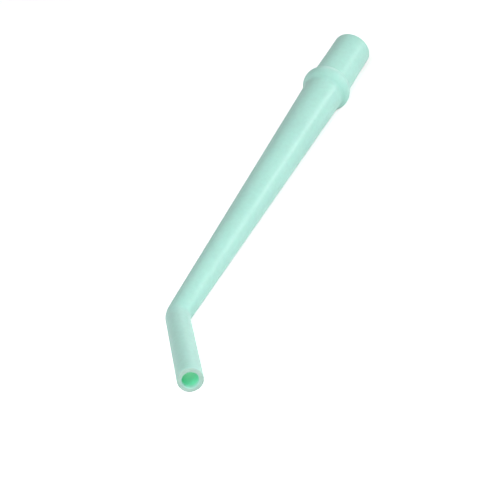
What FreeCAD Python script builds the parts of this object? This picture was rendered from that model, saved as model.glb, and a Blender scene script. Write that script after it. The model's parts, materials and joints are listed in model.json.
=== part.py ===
"""Surgical aspirator tip: one moulded plastic tube, lying on its side as it comes to rest.

The tube is built with the corner of its bend at the origin. The main axis runs from there
along +X through the shaft, the bead and the connector. The tip leaves the corner towards -X
and -Y, so the plane Z = 0 halves the tube. It is then laid on its bead and its tip, with the
middle of the box around it over the origin and its lowest point at Z = 0.
"""
import FreeCAD, Part
import os
from math import cos, radians, sin, sqrt, tan

Vector = FreeCAD.Vector

# Driving dimensions, in millimetres and degrees

# Tip, from the corner of the bend to the end that draws in the fluid
tip_length = 33.25
tip_start_diameter = 6.1
tip_end_diameter = 6.3
tip_bore_diameter = 4.0
tip_rim_radius = 0.5
tip_mouth_radius = 0.3

# Bend between the tip and the shaft
bend_angle = 36.0
bend_radius = 5.0

# Shaft, from the corner of the bend to the middle of the bead
shaft_length = 98.85
shaft_start_diameter = 6.3

# Bead, the rounded collar that stops against the suction valve, and the tube that it stands on
root_diameter = 11.52
bead_height = 1.17
bead_crown_radius = 3.45
bead_shaft_fillet = 2.5
bead_connector_fillet = 0.6

# Connector, from the middle of the bead to the end that is pushed into the valve
connector_length = 20.3
connector_diameter = 11.0
connector_land_length = 7.0
connector_bore_diameter = 8.6
connector_bore_depth = 20.0
connector_rim_radius = 0.5
connector_mouth_radius = 0.4

# Share of a wall's thickness that the rounding of one of its two edges may take
rim_share = 0.45

# Length by which a cutting form runs out of the part
overrun = 1.0

# Worked out from the driving dimensions

axis_direction = Vector(1, 0, 0)
bend_axis = Vector(0, 0, 1)
bend_turn = radians(bend_angle)
tip_direction = Vector(-cos(bend_turn), -sin(bend_turn), 0)
bend_setback = bend_radius * tan(bend_turn / 2)
bend_centre = Vector(bend_setback, -bend_radius, 0)
shaft_start = axis_direction * bend_setback
tip_start = tip_direction * bend_setback
tip_end = tip_direction * tip_length
bead_middle = axis_direction * shaft_length
connector_end = axis_direction * (shaft_length + connector_length)
bead_radius = root_diameter / 2 + bead_height
tip_wall = (tip_end_diameter - tip_bore_diameter) / 2
connector_wall = (connector_diameter - connector_bore_diameter) / 2


def outline_crossing(start, end, centre, radius, side):
    """Where the straight outline from start to end crosses a circle: first with side -1, last with +1."""
    run = end - start
    out = start - centre
    half = run.dot(out)
    root = sqrt(half ** 2 - run.dot(run) * (out.dot(out) - radius ** 2))
    return start + run * ((side * root - half) / run.dot(run))


def turned(outline):
    """Solid turned about the main axis from a closed outline above it."""
    return Part.Face(Part.Wire(outline)).revolve(Vector(), axis_direction, 360)


def lines(points):
    """Straight edges from each point to the next."""
    return [Part.makeLine(a, b) for a, b in zip(points, points[1:])]


def straight_run():
    """Outside of shaft, bead and connector in one turned form."""
    shaft_low = shaft_start + Vector(0, shaft_start_diameter / 2, 0)
    root = bead_middle + Vector(0, root_diameter / 2, 0)
    land = connector_end + Vector(-connector_land_length, connector_diameter / 2, 0)
    edge = connector_end + Vector(0, connector_diameter / 2, 0)
    crown = bead_middle + Vector(0, bead_radius, 0)
    crown_centre = crown - Vector(0, bead_crown_radius, 0)
    shaft_foot = outline_crossing(shaft_low, root, crown_centre, bead_crown_radius, -1)
    connector_foot = outline_crossing(root, land, crown_centre, bead_crown_radius, 1)
    outline = lines([shaft_start, shaft_low, shaft_foot])
    outline.append(Part.Arc(shaft_foot, crown, connector_foot).toShape())
    outline += lines([connector_foot, land, edge, connector_end, shaft_start])
    form = turned(outline)
    form = rounded(form, shaft_foot, bead_shaft_fillet)
    form = rounded(form, connector_foot, bead_connector_fillet)
    return form


def rounded(form, corner, radius):
    """Rounds the edge that the corner of a turned outline has left around the main axis."""
    centre = Vector(corner.x, 0, 0)
    return form.makeFillet(radius, [round_edge(form, centre, corner.y)])


def round_edge(form, centre, radius):
    """The circular edge with this centre and radius."""
    found = [
        edge for edge in form.Edges
        if isinstance(edge.Curve, Part.Circle)
        and edge.Curve.Center.isEqual(centre, 1e-4)
        and abs(edge.Curve.Radius - radius) < 1e-4
    ]
    return found[0]


def elbow(shaft_side, tip_side):
    """Round bar along the bend, from one diameter to the other."""
    first = Part.Wire(Part.makeCircle(shaft_side / 2, shaft_start, axis_direction))
    last = Part.Wire(Part.makeCircle(tip_side / 2, shaft_start, axis_direction))
    last.rotate(bend_centre, bend_axis, bend_angle)
    path = Part.makeCircle(bend_radius, bend_centre, bend_axis, 90, 90 + bend_angle)
    return Part.Wire(path).makePipeShell([first, last], True, False)


def outside():
    """The tube as if it were solid."""
    run = tip_length - bend_setback
    tip = Part.makeCone(tip_start_diameter / 2, tip_end_diameter / 2, run, tip_start, tip_direction)
    return straight_run().fuse([elbow(shaft_start_diameter, tip_start_diameter), tip])


def passage():
    """The bore: straight through tip and bend, widening along the shaft, straight in the connector."""
    narrow = tip_bore_diameter / 2
    wide = connector_bore_diameter / 2
    bore_end = connector_end - axis_direction * connector_bore_depth
    way_out = connector_end + axis_direction * overrun
    shaft_bore = turned(lines([
        shaft_start,
        shaft_start + Vector(0, narrow, 0),
        bore_end + Vector(0, wide, 0),
        way_out + Vector(0, wide, 0),
        way_out,
        shaft_start,
    ]))
    tip_bore = Part.makeCylinder(narrow, tip_length - bend_setback + overrun, tip_start, tip_direction)
    return shaft_bore.fuse([elbow(tip_bore_diameter, tip_bore_diameter), tip_bore])


def bored_tube():
    """The whole tube, with the inner and outer edge of both ends rounded."""
    tube = outside().cut(passage())
    rims = [
        (connector_end, connector_diameter, connector_rim_radius, connector_wall),
        (connector_end, connector_bore_diameter, connector_mouth_radius, connector_wall),
        (tip_end, tip_end_diameter, tip_rim_radius, tip_wall),
        (tip_end, tip_bore_diameter, tip_mouth_radius, tip_wall),
    ]
    for centre, diameter, radius, wall in rims:
        edge = round_edge(tube, centre, diameter / 2)
        tube = tube.makeFillet(min(radius, rim_share * wall), [edge])
    return tube


def reach(down, support):
    """How far a round form, given as its middle and radius, reaches downwards."""
    middle, radius = support
    return middle.dot(down) + radius


def way_down(bead, elbow_end, rim):
    """Unit vector with the same reach over three round forms whose middles lie in the plane Z = 0.

    The two differences in reach are equations for its part in that plane, and its length gives the rest.
    """
    to_bead, to_rim = bead[0] - elbow_end[0], rim[0] - elbow_end[0]
    bead_excess, rim_excess = bead[1] - elbow_end[1], rim[1] - elbow_end[1]
    area = to_bead.x * to_rim.y - to_bead.y * to_rim.x
    down_x = (rim_excess * to_bead.y - bead_excess * to_rim.y) / area
    down_y = (bead_excess * to_rim.x - rim_excess * to_bead.x) / area
    return Vector(down_x, down_y, -sqrt(1 - down_x ** 2 - down_y ** 2))


def resting_turn():
    """Turn that lays the tube on its bead, the end of its tip and the lower end of its bend."""
    bead = (bead_middle, bead_radius)
    rim = (tip_end, tip_end_diameter / 2)
    shaft_side = (shaft_start, shaft_start_diameter / 2)
    tip_side = (tip_start, tip_start_diameter / 2)
    down = way_down(bead, shaft_side, rim)
    if reach(down, tip_side) > reach(down, shaft_side):
        down = way_down(bead, tip_side, rim)
    return FreeCAD.Rotation(down, Vector(0, 0, -1))


def resting_place(form):
    """Placement that rests the tube on Z = 0 with the middle of its box over the origin."""
    turn = resting_turn()
    laid = form.copy()
    laid.Placement = FreeCAD.Placement(Vector(), turn)
    box = laid.optimalBoundingBox(False, False)
    return FreeCAD.Placement(Vector(-box.Center.x, -box.Center.y, -box.ZMin), turn)


aspirator_tip = bored_tube().Solids[0]
placement = resting_place(aspirator_tip)
aspirator_tip.Placement = placement

os.makedirs("parts", exist_ok=True)
aspirator_tip.exportStep("parts/aspirator_tip.step")
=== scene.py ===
"""Dressed model of a surgical aspirator tip, a mint green moulded tube that lies on a pale floor.

The tube is one closed surface: an outline of its wall, drawn as distance along the centre line against
distance from it, is carried along the bent centre line and turned around it. Lengths are in metres, and
values whose names end in _mm are in millimetres.
"""
import json
import logging
from dataclasses import dataclass, field
from enum import Enum
from math import acos, cos, pi, radians, sin, tan
from typing import Any

import bpy
import numpy as np
from mathutils import Matrix, Vector

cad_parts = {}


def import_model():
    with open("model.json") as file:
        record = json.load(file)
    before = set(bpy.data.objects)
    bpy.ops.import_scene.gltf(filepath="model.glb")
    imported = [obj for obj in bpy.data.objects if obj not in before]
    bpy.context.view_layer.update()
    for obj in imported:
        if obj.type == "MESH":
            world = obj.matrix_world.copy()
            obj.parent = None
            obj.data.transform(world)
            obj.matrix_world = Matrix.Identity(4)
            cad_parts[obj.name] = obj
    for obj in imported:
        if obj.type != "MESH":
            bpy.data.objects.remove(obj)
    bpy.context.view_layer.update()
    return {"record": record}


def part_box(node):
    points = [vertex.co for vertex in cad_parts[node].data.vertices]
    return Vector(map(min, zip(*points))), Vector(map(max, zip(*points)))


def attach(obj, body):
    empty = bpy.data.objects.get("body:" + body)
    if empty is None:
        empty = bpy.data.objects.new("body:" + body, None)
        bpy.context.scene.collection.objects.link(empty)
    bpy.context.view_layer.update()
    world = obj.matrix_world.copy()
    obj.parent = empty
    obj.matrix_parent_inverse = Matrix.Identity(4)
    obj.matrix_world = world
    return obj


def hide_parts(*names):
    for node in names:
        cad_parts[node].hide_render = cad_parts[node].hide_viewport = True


log = logging.getLogger("aspirator_tip")

NODE = "aspirator_tip"
BODY = "root"
MM = 0.001


class Track(Enum):
    """Values stored on the tube's points, which its finish reads."""

    STRAIGHTENED = "straightened_place"
    DEPTH = "bore_depth_mm"
    FACE_DISTANCE = "end_face_distance_mm"


def unit(vector: np.ndarray) -> np.ndarray:
    """The vector's direction, with length 1."""
    return vector / np.linalg.norm(vector)


def arc(centre: np.ndarray, radius: float, start: np.ndarray, end: np.ndarray, step: float) -> np.ndarray:
    """Points along the shorter arc between two directions, both ends included.

    Each point is centre + radius * (cos a, sin a), with the angle a in equal steps.

    Args:
        centre: Middle of the circle.
        radius: Radius of the circle.
        start: Vector from the centre towards the first point.
        end: Vector from the centre towards the last point.
        step: Longest distance between neighbours.

    Returns:
        One row for each point.
    """
    first = np.arctan2(start[1], start[0])
    turn = (np.arctan2(end[1], end[0]) - first + pi) % (2 * pi) - pi
    count = int(np.ceil(abs(turn) * radius / step)) + 1
    angle = first + turn * np.linspace(0, 1, count)
    return centre + radius * np.column_stack([np.cos(angle), np.sin(angle)])


def rounding(
    before: np.ndarray, corner: np.ndarray, after: np.ndarray, radius: float, step: float
) -> np.ndarray:
    """Arc that rounds the corner between two straight lines.

    With h as half the angle at the corner, the arc's ends lie radius / tan h along each line, and its
    centre lies radius / sin h along the line that halves the angle.

    Args:
        before: A point on the line that leads to the corner.
        corner: The sharp corner.
        after: A point on the line that leads on.
        radius: Radius of the arc.
        step: Longest distance between neighbours.

    Returns:
        One row for each point, both ends included.
    """
    back, on = unit(before - corner), unit(after - corner)
    half = acos(float(back @ on)) / 2
    centre = corner + unit(back + on) * radius / sin(half)
    reach = radius / tan(half)
    return arc(centre, radius, corner + back * reach - centre, corner + on * reach - centre, step)


def filled(points: np.ndarray, longest: np.ndarray) -> np.ndarray:
    """Closed outline with its long sides divided into equal steps.

    Args:
        points: One row for each corner, in order.
        longest: For each corner, the longest step allowed on the side that starts there.

    Returns:
        One row for each point of the finer outline.
    """
    sides = np.roll(points, -1, axis=0) - points
    counts = np.maximum(np.ceil(np.linalg.norm(sides, axis=1) / longest), 1).astype(int)
    side = np.repeat(np.arange(len(points)), counts)
    share = (np.arange(counts.sum()) - np.repeat(np.cumsum(counts) - counts, counts)) / counts[side]
    return points[side] + sides[side] * share[:, None]


@dataclass(frozen=True)
class CentreLine:
    """The tube's bent centre line, from the open end of the tip to the open end of the connector.

    Two straight runs are joined by an arc in the plane of both. The axes and bores come from the record.
    """

    tip_end: np.ndarray
    start_direction: np.ndarray
    end_direction: np.ndarray
    tip_run: float
    bend_radius: float
    length: float

    @classmethod
    def from_record(cls, record: dict[str, Any], tip_mouth: float, connector_mouth: float) -> "CentreLine":
        """Works the line out from the two bores that the record states.

        The lines of both bores meet at the corner of the bend. The tip's bore ends where the bend starts,
        at a setback from that corner, and the bend's radius is setback / tan(half the turn).

        Args:
            record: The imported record.
            tip_mouth: Rounding of the tip's bore at its open end.
            connector_mouth: Rounding of the connector's bore at its open end.

        Returns:
            The centre line.
        """
        tip, connector = mount(record, "tip_bore"), mount(record, "connector_bore")
        tip_end = tip.middle + tip.axis * (tip.length / 2 + tip_mouth)
        connector_end = connector.middle + connector.axis * (connector.length / 2 + connector_mouth)
        start, end = -tip.axis, connector.axis
        tip_run = tip.length + tip_mouth
        bend_start = tip_end + start * tip_run
        across = start - (start @ end) * end
        to_axis = connector_end - bend_start
        setback = float(to_axis @ across / (across @ across))
        turn = acos(float(start @ end))
        radius = setback / tan(turn / 2)
        shaft_start = bend_start + (start + end) * setback
        shaft_run = float((connector_end - shaft_start) @ end)
        return cls(tip_end, start, end, tip_run, radius, tip_run + radius * turn + shaft_run)

    @property
    def turn(self) -> float:
        """Angle of the bend."""
        return acos(float(self.start_direction @ self.end_direction))

    @property
    def shaft_start(self) -> float:
        """Distance along the line at which the bend ends and the shaft starts."""
        return self.tip_run + self.bend_radius * self.turn

    def frames(self, distance: np.ndarray) -> tuple[np.ndarray, np.ndarray, np.ndarray]:
        """Places on the line, with the two directions that span its cross-section.

        The distance is shared out between first run, arc and last run, and the point is the sum of the
        three. On the arc the direction towards its centre turns with it.

        Args:
            distance: Distances from the tip's open end.

        Returns:
            Points, directions towards the inside of the bend, and the direction square to its plane.
        """
        ahead, last = self.start_direction, self.end_direction
        inward = unit(last - (last @ ahead) * ahead)
        first_run = np.minimum(distance, self.tip_run)[:, None]
        angle = np.clip((distance - self.tip_run) / self.bend_radius, 0, self.turn)[:, None]
        last_run = np.maximum(distance - self.shaft_start, 0)[:, None]
        along_arc = np.sin(angle) * ahead + (1 - np.cos(angle)) * inward
        points = self.tip_end + first_run * ahead + self.bend_radius * along_arc + last_run * last
        return points, np.cos(angle) * inward - np.sin(angle) * ahead, np.cross(ahead, inward)


@dataclass(frozen=True)
class RoundMount:
    """A round mount of the record: its middle, its axis, its radius and its length."""

    middle: np.ndarray
    axis: np.ndarray
    radius: float
    length: float


def mount(record: dict[str, Any], name: str) -> RoundMount:
    """Reads a round mount.

    Args:
        record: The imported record.
        name: The mount's name.

    Returns:
        The mount, in metres.
    """
    found = next(entry for entry in record["mounts"] if entry["name"] == name)
    dims = found["dims"]
    middle, axis = np.array(found["pos_m"]), unit(np.array(found["axis"]))
    return RoundMount(middle, axis, dims["r_mm"] * MM, dims["length_mm"] * MM)


@dataclass
class SuctionTube:
    """The whole moulded tube: tip, bend, shaft, bead and connector, with the bore through it.

    The radii of the tip's bore, the connector and the connector's bore, and all places, come from the
    record.
    """

    tip_start_diameter: float = 6.1 * MM
    tip_end_diameter: float = 6.3 * MM
    tip_rim_radius: float = 0.5 * MM
    tip_mouth_radius: float = 0.3 * MM
    shaft_start_diameter: float = 6.3 * MM
    root_diameter: float = 11.52 * MM
    bead_height: float = 1.17 * MM
    bead_crown_radius: float = 3.45 * MM
    bead_shaft_fillet: float = 2.5 * MM
    bead_connector_fillet: float = 0.6 * MM
    connector_length: float = 20.3 * MM
    connector_land_length: float = 7.0 * MM
    connector_bore_depth: float = 20.0 * MM
    connector_rim_radius: float = 0.5 * MM
    connector_mouth_radius: float = 0.4 * MM
    straight_step: float = 1.0 * MM
    bend_step: float = 0.2 * MM
    arc_step: float = 0.08 * MM
    points_around: int = 144
    touching: float = 0.001 * MM
    line: CentreLine = field(init=False)
    tip_bore_radius: float = field(init=False)
    connector_radius: float = field(init=False)
    connector_bore_radius: float = field(init=False)

    def take_places(self, record: dict[str, Any]) -> None:
        """Takes the centre line and the stated radii.

        Args:
            record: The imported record.
        """
        self.line = CentreLine.from_record(record, self.tip_mouth_radius, self.connector_mouth_radius)
        self.tip_bore_radius = mount(record, "tip_bore").radius
        self.connector_radius = mount(record, "connector").radius
        self.connector_bore_radius = mount(record, "connector_bore").radius

    def bead_side(self, foot: np.ndarray, away: np.ndarray, fillet: float) -> tuple[np.ndarray, np.ndarray]:
        """One side of the bead: the fillet between the tube's straight outline and the crown's circle.

        The fillet's centre lies one fillet radius off the straight line, and crown radius plus fillet
        radius from the crown's centre. That leaves a quadratic equation for its place along the line.

        Args:
            foot: Where the straight outline meets the middle of the bead.
            away: Unit vector along that outline, leading away from the bead.
            fillet: Radius of the fillet.

        Returns:
            The fillet's arc from the tube to the crown, and the point where it meets the crown.
        """
        outward = np.array([away[1], -away[0]]) * np.sign(-away[0])
        centre = self.crown_centre
        offset = foot + outward * fillet - centre
        reach = self.bead_crown_radius + fillet
        half = float(away @ offset)
        run = -half + np.sqrt(half ** 2 - float(offset @ offset) + reach ** 2)
        middle = foot + outward * fillet + away * run
        meeting = centre + (middle - centre) * self.bead_crown_radius / reach
        return arc(middle, fillet, -outward, meeting - middle, self.arc_step), meeting

    @property
    def bead_place(self) -> float:
        """Distance of the bead's middle along the centre line."""
        return self.line.length - self.connector_length

    @property
    def crown_centre(self) -> np.ndarray:
        """Centre of the circle that rounds the bead, in the outline's plane."""
        crown = self.root_diameter / 2 + self.bead_height
        return np.array([self.bead_place, crown - self.bead_crown_radius])

    def bead(self, shaft_low: np.ndarray, land: np.ndarray) -> np.ndarray:
        """Outline of the bead with the fillets on both of its sides.

        Args:
            shaft_low: The shaft's outline at the bend.
            land: The connector's outline where its straight end starts.

        Returns:
            One row for each point, from the shaft to the connector.
        """
        root = np.array([self.bead_place, self.root_diameter / 2])
        shaft_fillet, crown_start = self.bead_side(root, unit(shaft_low - root), self.bead_shaft_fillet)
        connector_fillet, crown_end = self.bead_side(root, unit(land - root), self.bead_connector_fillet)
        centre = self.crown_centre
        crown = arc(centre, self.bead_crown_radius, crown_start - centre, crown_end - centre, self.arc_step)
        return np.concatenate([shaft_fillet, crown[1:-1], connector_fillet[::-1]])

    def outline(self) -> np.ndarray:
        """Closed outline of the wall: distance along the centre line against distance from it.

        It runs along the outside from tip to connector, over the connector's end face, back along the
        bore, and over the tip's end face.

        Returns:
            One row for each point.
        """
        line, step = self.line, self.arc_step
        end = line.length
        bend = (line.tip_run, line.shaft_start)
        tip_outside = np.array([0.0, self.tip_end_diameter / 2])
        tip_low = np.array([bend[0], self.tip_start_diameter / 2])
        shaft_low = np.array([bend[1], self.shaft_start_diameter / 2])
        land = np.array([end - self.connector_land_length, self.connector_radius])
        edge = np.array([end, self.connector_radius])
        mouth = np.array([end, self.connector_bore_radius])
        bore_end = np.array([end - self.connector_bore_depth, self.connector_bore_radius])
        narrow = np.array([[bend[1], self.tip_bore_radius], [bend[0], self.tip_bore_radius]])
        tip_inside = np.array([0.0, self.tip_bore_radius])
        corners = np.concatenate([
            rounding(tip_inside, tip_outside, tip_low, self.tip_rim_radius, step),
            [tip_low, shaft_low],
            self.bead(shaft_low, land),
            [land],
            rounding(land, edge, mouth, self.connector_rim_radius, step),
            rounding(edge, mouth, bore_end, self.connector_mouth_radius, step),
            [bore_end],
            narrow,
            rounding(narrow[1], tip_inside, tip_outside, self.tip_mouth_radius, step),
        ])
        middles = (corners[:, 0] + np.roll(corners[:, 0], -1)) / 2
        in_bend = (middles > bend[0]) & (middles < bend[1])
        return filled(corners, np.where(in_bend, self.bend_step, self.straight_step))

    def surface(self, outline: np.ndarray) -> np.ndarray:
        """The wall's surface as a grid of outline points against angles around the centre line.

        A point is centre + radius * (cos a * inward + sin a * sideways), with inward and sideways
        spanning the cross-section at its distance along the line.

        Args:
            outline: The wall's outline.

        Returns:
            Places, shaped (outline point, angle, 3).
        """
        centres, inward, sideways = self.line.frames(outline[:, 0])
        angle = np.linspace(0, 2 * pi, self.points_around, endpoint=False)
        spokes = inward[:, None] * np.cos(angle)[:, None] + sideways * np.sin(angle)[:, None]
        return centres[:, None] + outline[:, 1, None, None] * spokes

    def tracks(self, outline: np.ndarray) -> dict[Track, np.ndarray]:
        """Values on the surface's points that its finish reads.

        The straightened place is (distance along the line, radius * cos a, radius * sin a). The depth is
        counted from the nearer open end on points of the bore, which follow the last point of the
        connector's end face, and is 0 elsewhere. The face distance is the way along the outline to the
        middle of the nearer end face.

        Args:
            outline: The wall's outline.

        Returns:
            Each track's values, shaped (outline point, angle) or (outline point, angle, 3).
        """
        along, radius = outline.T
        end = self.line.length
        angle = np.linspace(0, 2 * pi, self.points_around, endpoint=False)
        grid = (len(outline), self.points_around)
        around = np.exp(1j * angle)[None] * radius[:, None]
        straightened = np.stack([np.broadcast_to(along[:, None], grid), around.real, around.imag], axis=-1)
        sides = np.linalg.norm(np.roll(outline, -1, axis=0) - outline, axis=1)
        way = np.cumsum(sides) - sides
        on_face = np.flatnonzero(end - along < self.touching)
        in_bore = np.arange(len(outline)) > on_face[-1]
        depth = np.where(in_bore, np.minimum(along, end - along), 0.0)
        to_face = np.full(len(outline), np.inf)
        for middle in self.face_middles():
            nearest = way[np.argmin(np.linalg.norm(outline - middle, axis=1))]
            gap = np.abs(way - nearest)
            to_face = np.minimum(to_face, np.minimum(gap, sides.sum() - gap))
        per_point = np.ones(self.points_around)
        return {
            Track.STRAIGHTENED: straightened,
            Track.DEPTH: np.outer(depth, per_point) / MM,
            Track.FACE_DISTANCE: np.outer(to_face, per_point) / MM,
        }

    def face_middles(self) -> list[np.ndarray]:
        """Middle of each end face's width, in the outline's plane.

        Returns:
            The middle at the tip and the middle at the connector.
        """
        tip = (self.tip_end_diameter / 2 + self.tip_bore_radius) / 2
        connector = (self.connector_radius + self.connector_bore_radius) / 2
        return [np.array([0.0, tip]), np.array([self.line.length, connector])]

    def build(self) -> bpy.types.Object:
        """Makes the tube's mesh, with its UV map and the tracks of its finish.

        Both ways round the grid close on themselves, so the surface has no seam, pole or open edge. In
        the UV map, u is the share of the way along the outline and v the share of the turn.

        Returns:
            The object, linked to the scene.
        """
        outline = self.outline()
        rings, around = len(outline), self.points_around
        ring, spoke = np.meshgrid(np.arange(rings), np.arange(around), indexing="ij")
        corners = [(ring, spoke), (ring, spoke + 1), (ring + 1, spoke + 1), (ring + 1, spoke)]
        faces = np.stack([(i % rings) * around + j % around for i, j in corners], axis=-1).reshape(-1, 4)
        mesh = bpy.data.meshes.new(NODE)
        mesh.from_pydata(self.surface(outline).reshape(-1, 3), [], faces)
        mesh.polygons.foreach_set("use_smooth", np.ones(len(faces), dtype=bool))
        uv = np.stack([np.stack([i / rings, j / around], axis=-1) for i, j in corners], axis=2)
        mesh.uv_layers.new(name="outline_and_turn").data.foreach_set("uv", uv.astype(np.float32).ravel())
        for track, values in self.tracks(outline).items():
            kind = ("FLOAT_VECTOR", "vector") if values.ndim == 3 else ("FLOAT", "value")
            attribute = mesh.attributes.new(track.value, kind[0], "POINT")
            attribute.data.foreach_set(kind[1], values.astype(np.float32).ravel())
        mesh.validate()
        mesh.update()
        tube = bpy.data.objects.new("mint_suction_tube", mesh)
        bpy.context.scene.collection.objects.link(tube)
        log.info("tube: %d rings of %d points", rings, around)
        return tube

    def dress(self, tube: bpy.types.Object, finish: bpy.types.Material) -> None:
        """Gives the built tube its finish."""
        tube.data.materials.append(finish)


@dataclass
class Graph:
    """A node tree being filled, with short calls for adding and joining nodes."""

    tree: bpy.types.NodeTree

    def add(self, kind: str, **settings: Any) -> bpy.types.Node:
        """Adds a node.

        Args:
            kind: The node's type, without the ShaderNode that most types start with.
            settings: Properties of the node.

        Returns:
            The node.
        """
        node = self.tree.nodes.new(kind if kind.startswith("Node") else "ShaderNode" + kind)
        for name, value in settings.items():
            setattr(node, name, value)
        return node

    def join(self, source: bpy.types.NodeSocket, *targets: bpy.types.NodeSocket) -> None:
        """Links an output to one or more inputs."""
        for target in targets:
            self.tree.links.new(source, target)

    def feed(self, target: bpy.types.NodeSocket, value: Any) -> None:
        """Links an output to an input, or sets the input to a plain value.

        Args:
            target: The input.
            value: Another node's output, or the plain value.
        """
        if isinstance(value, bpy.types.NodeSocket):
            self.join(value, target)
        else:
            target.default_value = value

    def maths(
        self, operation: str, first: Any, second: Any = 0.0, third: Any = 0.0
    ) -> bpy.types.NodeSocket:
        """Result of an arithmetic node on up to three values.

        Args:
            operation: The node's operation.
            first: First value, or an output that gives it.
            second: Second value, or an output that gives it.
            third: Third value, or an output that gives it.

        Returns:
            The node's output.
        """
        node = self.add("Math", operation=operation)
        for socket, value in zip(node.inputs, (first, second, third)):
            self.feed(socket, value)
        return node.outputs[0]

    def scaled(self, vector: Any, factors: tuple[float, float, float]) -> bpy.types.NodeSocket:
        """A vector with each part multiplied by its own factor.

        Args:
            vector: The vector, or an output that gives it.
            factors: One factor for each part.

        Returns:
            The node's output.
        """
        node = self.add("VectorMath", operation="MULTIPLY")
        self.feed(node.inputs[0], vector)
        self.feed(node.inputs[1], factors)
        return node.outputs[0]

    def noise(self, place: Any, scale: Any, detail: float) -> bpy.types.NodeSocket:
        """Cloudy noise around 0.

        Args:
            place: Where the noise is read, in metres.
            scale: Number of spots along a metre.
            detail: Number of finer layers, each with spots half as wide.

        Returns:
            The noise, lowered by its middle.
        """
        middle = 0.5
        node = self.add("TexNoise", noise_dimensions="3D")
        for name, value in (("Vector", place), ("Scale", scale), ("Detail", detail)):
            self.feed(node.inputs[name], value)
        return self.maths("SUBTRACT", node.outputs[0], middle)

    def step(self, value: Any, low: Any, high: Any) -> bpy.types.NodeSocket:
        """Smooth step from 0 at low to 1 at high.

        With t as the value's share of the way from low to high, kept between 0 and 1, the step is
        t * t * (3 - 2 * t).

        Args:
            value: The value that is compared.
            low: Where the step starts.
            high: Where the step ends.

        Returns:
            The node's output.
        """
        node = self.add("MapRange", interpolation_type="SMOOTHSTEP")
        for name, number in (("Value", value), ("From Min", low), ("From Max", high)):
            self.feed(node.inputs[name], number)
        return node.outputs[0]

    def mix(self, share: Any, first: Any, second: Any) -> bpy.types.NodeSocket:
        """Colour between two others.

        The node's sockets for colours are its inputs 6 and 7 and its output 2.

        Args:
            share: 0 for the first colour alone, up to 1 for the second alone.
            first: First colour, or an output that gives it.
            second: Second colour, or an output that gives it.

        Returns:
            The node's output.
        """
        node = self.add("Mix", data_type="RGBA")
        for index, value in ((0, share), (6, first), (7, second)):
            self.feed(node.inputs[index], value)
        return node.outputs[2]


def new_group(name: str, inputs: dict[str, Any], outputs: dict[str, str]) -> tuple[Graph, Any, Any]:
    """Starts a shader node group.

    Args:
        name: The group's name.
        inputs: Each input's name with its default, which also gives its kind.
        outputs: Each output's name with its kind: Float, Vector or Color.

    Returns:
        The group's graph, the outputs of its input node and the inputs of its output node.
    """
    tree = bpy.data.node_groups.new(name, "ShaderNodeTree")
    for label, default in inputs.items():
        size = len(default) if isinstance(default, tuple) else 1
        kind = {1: "NodeSocketFloat", 3: "NodeSocketVector", 4: "NodeSocketColor"}[size]
        tree.interface.new_socket(label, in_out="INPUT", socket_type=kind).default_value = default
    for label, kind in outputs.items():
        tree.interface.new_socket(label, in_out="OUTPUT", socket_type="NodeSocket" + kind)
    graph = Graph(tree)
    return graph, graph.add("NodeGroupInput").outputs, graph.add("NodeGroupOutput").inputs


def moulded_skin() -> bpy.types.NodeTree:
    """Group for the skin of a moulded tube: clouds, fine mottling, long draw lines and a satin grain.

    The pattern lies in the straightened place, so that it follows the tube around its bend. The draw
    lines are a noise whose place is squeezed along the tube, which draws its spots out.

    Returns:
        The group, with outputs Tone, Gloss and Height, all around 0.
    """
    inputs = {
        "Place": (0.0, 0.0, 0.0),
        "Cloud Scale": 60.0,
        "Mottle Scale": 900.0,
        "Line Scale": 1400.0,
        "Grain Scale": 3200.0,
        "Line Tone": 0.15,
        "Line Height": 0.6,
    }
    squeeze = (0.03, 1.0, 1.0)
    cloud_detail, fine_detail = 3.0, 2.0
    outputs = {"Tone": "Float", "Gloss": "Float", "Height": "Float"}
    graph, given, made = new_group("moulded_skin", inputs, outputs)
    drawn = graph.scaled(given["Place"], squeeze)
    cloud = graph.noise(given["Place"], given["Cloud Scale"], cloud_detail)
    mottle = graph.noise(given["Place"], given["Mottle Scale"], fine_detail)
    lines = graph.noise(drawn, given["Line Scale"], fine_detail)
    grain = graph.noise(given["Place"], given["Grain Scale"], fine_detail)
    tone = graph.maths("MULTIPLY_ADD", lines, given["Line Tone"], cloud)
    graph.join(graph.maths("ADD", tone, mottle), made["Tone"])
    graph.join(graph.maths("ADD", lines, cloud), made["Gloss"])
    graph.join(graph.maths("MULTIPLY_ADD", lines, given["Line Height"], grain), made["Height"])
    return graph.tree


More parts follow.
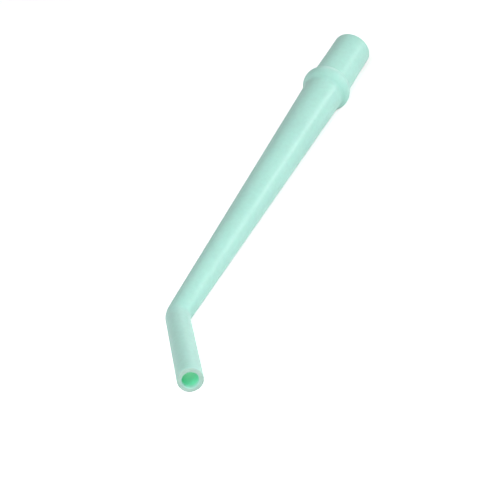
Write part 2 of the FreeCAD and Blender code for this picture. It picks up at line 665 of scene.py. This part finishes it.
def painted_end_light() -> bpy.types.NodeTree:
    """Group for the colours of a translucent tube near its open ends, with painted light and shade.

    The end face and its rim are painted darker and greyer than the wall: painted shade for light that
    leaks out of them. The bore is painted a deeper green: painted light for light that has crossed the
    wall and met it several times. Painted shade makes it darker further in. The glow is painted light:
    an emission, though the tube is no lamp, for the light that the wall lets through into the bore. It
    sets in behind the mouth, where the light from outside fades, and most of it goes again with the
    depth. The changes at face and mouth start at a share of the width or depth at which they end.
    Distances are in millimetres.

    Returns:
        The group, with outputs Color and Glow.
    """
    inputs = {
        "Wall Color": (0.5, 0.5, 0.5, 1.0),
        "Painted Face Shade": (0.6, 0.6, 0.6, 1.0),
        "Painted Bore Light": (0.2, 0.5, 0.3, 1.0),
        "Painted Deep Shade": (0.1, 0.25, 0.15, 1.0),
        "Painted Glow Color": (0.1, 0.4, 0.2, 1.0),
        "Face Distance": 0.0,
        "Depth": 0.0,
        "Face Width": 0.7,
        "Mouth Depth": 1.0,
        "Glow Depth": 8.0,
        "Dark Depth": 34.0,
        "Glow Lost": 0.7,
    }
    face_start, mouth_start = 0.5, 0.2
    unlit = (0.0, 0.0, 0.0, 1.0)
    graph, given, made = new_group("painted_end_light", inputs, {"Color": "Color", "Glow": "Color"})
    # Painted shade: the end face and its rim are darker and greyer than the wall, for light that leaks out
    # of them.
    face_edge = graph.maths("MULTIPLY", given["Face Width"], face_start)
    away = graph.step(given["Face Distance"], face_edge, given["Face Width"])
    skin = graph.mix(away, given["Painted Face Shade"], given["Wall Color"])
    # Painted light: behind the mouth the bore turns a deeper green, for light that has crossed the wall.
    mouth_edge = graph.maths("MULTIPLY", given["Mouth Depth"], mouth_start)
    inside = graph.step(given["Depth"], mouth_edge, given["Mouth Depth"])
    # Painted shade: the bore's colour gets darker further in.
    painted_darkening = graph.step(given["Depth"], given["Glow Depth"], given["Dark Depth"])
    bore = graph.mix(painted_darkening, given["Painted Bore Light"], given["Painted Deep Shade"])
    graph.join(graph.mix(inside, skin, bore), made["Color"])
    # Painted light: a glow in the bore that stands in for light the wall lets through, though the tube is
    # no lamp.
    lit = graph.step(given["Depth"], given["Mouth Depth"], given["Glow Depth"])
    left = graph.maths("SUBTRACT", 1.0, graph.maths("MULTIPLY", painted_darkening, given["Glow Lost"]))
    share = graph.maths("MULTIPLY", lit, left)
    graph.join(graph.mix(share, unlit, given["Painted Glow Color"]), made["Glow"])
    return graph.tree


@dataclass(frozen=True)
class MintPlastic:
    """Finish of the tube: soft satin mint green plastic, a little translucent.

    The shine is all in the coat, so that the body under it keeps its colour at grazing angles. The
    body's roughness and its swing are mostly for viewers that leave the coat out.
    """

    wall_colour: tuple[float, float, float, float] = (0.45, 0.79, 0.70, 1.0)
    # Painted shade: the end faces are darker and greyer than the wall.
    painted_face_shade: tuple[float, float, float, float] = (0.43, 0.62, 0.55, 1.0)
    # Painted light: the bore's deeper green stands in for light that has crossed the wall.
    painted_bore_light: tuple[float, float, float, float] = (0.24, 0.86, 0.57, 1.0)
    # Painted shade: the colour the bore darkens to deep inside.
    painted_deep_shade: tuple[float, float, float, float] = (0.12, 0.50, 0.32, 1.0)
    # Painted light: a faint glow in the bore, for light that the wall lets through.
    painted_glow_colour: tuple[float, float, float, float] = (0.75, 1.0, 0.90, 1.0)
    painted_glow_strength: float = 0.16
    mouth_depth_mm: float = 2.0
    tone_strength: float = 0.12
    roughness: float = 0.42
    roughness_swing: float = 0.08
    grain_height: float = 0.004 * MM
    body_specular: float = 0.0
    coat_share: float = 0.5
    coat_roughness: float = 0.36
    translucent_share: float = 0.6
    light_reach_mm: tuple[float, float, float] = (1.0, 1.0, 0.9)

    def build(self) -> bpy.types.Material:
        """Makes the material.

        Returns:
            The material, which reads the tube's tracks.
        """
        material = bpy.data.materials.new("satin_mint_plastic")
        material.use_nodes = True
        graph = Graph(material.node_tree)
        shader = next(node for node in graph.tree.nodes if node.type == "BSDF_PRINCIPLED")
        track = {name: graph.add("Attribute", attribute_name=name.value) for name in Track}
        skin = graph.add("Group", node_tree=moulded_skin())
        graph.join(track[Track.STRAIGHTENED].outputs["Vector"], skin.inputs["Place"])
        # The base colour carries painted shade on the end faces, and painted light and shade in the bore.
        end_paint = graph.add("Group", node_tree=painted_end_light())
        end_paint.inputs["Wall Color"].default_value = self.wall_colour
        end_paint.inputs["Painted Face Shade"].default_value = self.painted_face_shade
        end_paint.inputs["Painted Bore Light"].default_value = self.painted_bore_light
        end_paint.inputs["Painted Deep Shade"].default_value = self.painted_deep_shade
        end_paint.inputs["Painted Glow Color"].default_value = self.painted_glow_colour
        end_paint.inputs["Mouth Depth"].default_value = self.mouth_depth_mm
        graph.join(track[Track.FACE_DISTANCE].outputs["Fac"], end_paint.inputs["Face Distance"])
        graph.join(track[Track.DEPTH].outputs["Fac"], end_paint.inputs["Depth"])
        tone = graph.maths("MULTIPLY_ADD", skin.outputs["Tone"], self.tone_strength, 1.0)
        shade = graph.add("HueSaturation")
        graph.join(end_paint.outputs["Color"], shade.inputs["Color"])
        graph.join(tone, shade.inputs["Value"])
        graph.join(shade.outputs["Color"], shader.inputs["Base Color"])
        gloss = graph.maths("MULTIPLY_ADD", skin.outputs["Gloss"], self.roughness_swing, self.roughness)
        graph.join(gloss, shader.inputs["Roughness"])
        bump = graph.add("Bump")
        bump.inputs["Distance"].default_value = self.grain_height
        graph.join(skin.outputs["Height"], bump.inputs["Height"])
        graph.join(bump.outputs["Normal"], shader.inputs["Normal"])
        # The emission is painted light: a faint glow in the bore, which is no lamp.
        graph.join(end_paint.outputs["Glow"], shader.inputs["Emission Color"])
        shader.inputs["Emission Strength"].default_value = self.painted_glow_strength
        shader.inputs["Specular IOR Level"].default_value = self.body_specular
        shader.inputs["Coat Weight"].default_value = self.coat_share
        shader.inputs["Coat Roughness"].default_value = self.coat_roughness
        shader.inputs["Subsurface Weight"].default_value = self.translucent_share
        shader.inputs["Subsurface Radius"].default_value = self.light_reach_mm
        shader.inputs["Subsurface Scale"].default_value = MM
        return material


@dataclass(frozen=True)
class SoftBox:
    """A square soft light that points at the middle of the object.

    The heading is turned from +X towards +Y. Both angles are in degrees, and the power is in watts.
    """

    name: str
    heading: float
    elevation: float
    distance: float
    width: float
    power: float

    def towards(self) -> Vector:
        """Direction from the object to the light."""
        turn, lift = radians(self.heading), radians(self.elevation)
        return Vector((cos(turn) * cos(lift), sin(turn) * cos(lift), sin(lift)))

    def build(self, target: Vector) -> bpy.types.Object:
        """Hangs the light.

        Args:
            target: What the light points at.

        Returns:
            The light.
        """
        data = bpy.data.lights.new(self.name, "AREA")
        data.size = self.width
        data.energy = self.power
        light = bpy.data.objects.new(self.name, data)
        bpy.context.scene.collection.objects.link(light)
        towards = self.towards()
        light.location = target + towards * self.distance
        light.rotation_mode = "QUATERNION"
        light.rotation_quaternion = towards.to_track_quat("Z", "Y")
        return light


@dataclass(frozen=True)
class Viewpoint:
    """The camera, as the photograph was taken.

    It looks down at a point of the floor. Heading is turned from +X towards +Y, and roll lowers the
    camera's right side. Angles are in degrees.
    """

    floor_point: tuple[float, float] = (-15.045 * MM, 2.669 * MM)
    distance: float = 444.234 * MM
    elevation: float = 24.7316
    heading: float = 40.9916
    roll: float = 29.3271
    lens_mm: float = 124.8748
    sensor_width_mm: float = 36.0
    nearest_shown: float = 10 * MM

    def axes(self) -> Matrix:
        """The camera's own directions.

        Returns:
            Matrix whose columns are its right, up and backward directions.
        """
        turn, dip, lean = radians(self.heading), radians(self.elevation), radians(self.roll)
        ahead = Vector((cos(turn) * cos(dip), sin(turn) * cos(dip), -sin(dip)))
        level_right = ahead.cross(Vector((0, 0, 1))).normalized()
        level_up = level_right.cross(ahead)
        right = level_right * cos(lean) - level_up * sin(lean)
        up = level_right * sin(lean) + level_up * cos(lean)
        return Matrix((right, up, -ahead)).transposed()

    def build(self) -> bpy.types.Object:
        """Makes the camera and gives it to the scene.

        Returns:
            The camera.
        """
        data = bpy.data.cameras.new("camera")
        data.sensor_width = self.sensor_width_mm
        data.lens = self.lens_mm
        data.clip_start = self.nearest_shown
        camera = bpy.data.objects.new("camera", data)
        bpy.context.scene.collection.objects.link(camera)
        axes = self.axes()
        place = Vector((*self.floor_point, 0)) + axes @ Vector((0, 0, self.distance))
        camera.matrix_world = Matrix.Translation(place) @ axes.to_4x4()
        bpy.context.scene.camera = camera
        return camera


@dataclass(frozen=True)
class Studio:
    """Pale floor, white surroundings and soft lights."""

    boxes: tuple[SoftBox, ...] = (
        SoftBox("front", heading=216, elevation=38, distance=0.9, width=0.45, power=4.5),
        SoftBox("side", heading=312, elevation=3, distance=2.0, width=0.5, power=14.2),
        SoftBox("right", heading=285, elevation=4, distance=0.9, width=0.5, power=3.0),
        SoftBox("behind", heading=88, elevation=5, distance=2.0, width=1.0, power=5.0),
        SoftBox("far", heading=0, elevation=12, distance=2.0, width=1.0, power=7.0),
        SoftBox("ahead", heading=178, elevation=28, distance=0.7, width=0.35, power=1.15),
    )
    surroundings: float = 0.1
    floor_width: float = 1.3
    floor_tone: float = 0.85
    floor_glow: float = 0.68

    def seen_or_mirrored(self, graph: Graph) -> bpy.types.NodeSocket:
        """Tells the rays that should see white from those that light the object.

        Args:
            graph: The graph that takes the nodes.

        Returns:
            1 for rays from the camera and for those that gloss or glass sends on, and 0 for the rest.
        """
        path = graph.add("LightPath").outputs
        either = graph.maths("MAXIMUM", path["Is Camera Ray"], path["Is Glossy Ray"])
        return graph.maths("MAXIMUM", either, path["Is Transmission Ray"])

    def build_world(self) -> None:
        """White to look at, and a dimmer even light on the object."""
        world = bpy.data.worlds.new("surroundings")
        world.use_nodes = True
        graph = Graph(world.node_tree)
        backdrop = next(node for node in graph.tree.nodes if node.type == "BACKGROUND")
        seen = self.seen_or_mirrored(graph)
        strength = graph.maths("MULTIPLY_ADD", seen, 1 - self.surroundings, self.surroundings)
        backdrop.inputs["Color"].default_value = (1, 1, 1, 1)
        graph.join(strength, backdrop.inputs["Strength"])
        bpy.context.scene.world = world

    def build_floor(self) -> bpy.types.Object:
        """A level floor whose lit grey and glow add up to white, so that only its shadow shows.

        It is small enough to be lit evenly, and the white surroundings carry on beyond its edge.

        Returns:
            The floor.
        """
        half = self.floor_width / 2
        mesh = bpy.data.meshes.new("floor")
        corners = [(-half, -half, 0), (half, -half, 0), (half, half, 0), (-half, half, 0)]
        mesh.from_pydata(corners, [], [(0, 1, 2, 3)])
        material = bpy.data.materials.new("pale_floor")
        material.use_nodes = True
        graph = Graph(material.node_tree)
        shader = next(node for node in graph.tree.nodes if node.type == "BSDF_PRINCIPLED")
        shader.inputs["Base Color"].default_value = (*[self.floor_tone] * 3, 1)
        shader.inputs["Roughness"].default_value = 1.0
        shader.inputs["Specular IOR Level"].default_value = 0.0
        shader.inputs["Emission Color"].default_value = (1, 1, 1, 1)
        glow = graph.maths("MULTIPLY", self.seen_or_mirrored(graph), self.floor_glow)
        graph.join(glow, shader.inputs["Emission Strength"])
        mesh.materials.append(material)
        floor = bpy.data.objects.new("floor", mesh)
        bpy.context.scene.collection.objects.link(floor)
        return floor

    def build(self, target: Vector) -> None:
        """Builds floor, surroundings and lights.

        Args:
            target: Middle of the object.
        """
        self.build_world()
        self.build_floor()
        for box in self.boxes:
            box.build(target)
        bpy.context.scene.view_settings.view_transform = "Standard"
        log.info("studio: floor, surroundings and %d lights", len(self.boxes))


def main() -> None:
    """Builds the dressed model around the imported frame."""
    logging.basicConfig(level=logging.INFO, format="%(name)s: %(message)s")
    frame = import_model()
    design = SuctionTube()
    design.take_places(frame["record"])
    tube = design.build()
    design.dress(tube, MintPlastic().build())
    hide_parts(NODE)
    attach(tube, BODY)
    Viewpoint().build()
    low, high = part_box(NODE)
    Studio().build((low + high) / 2)


if __name__ == "__main__":
    main()
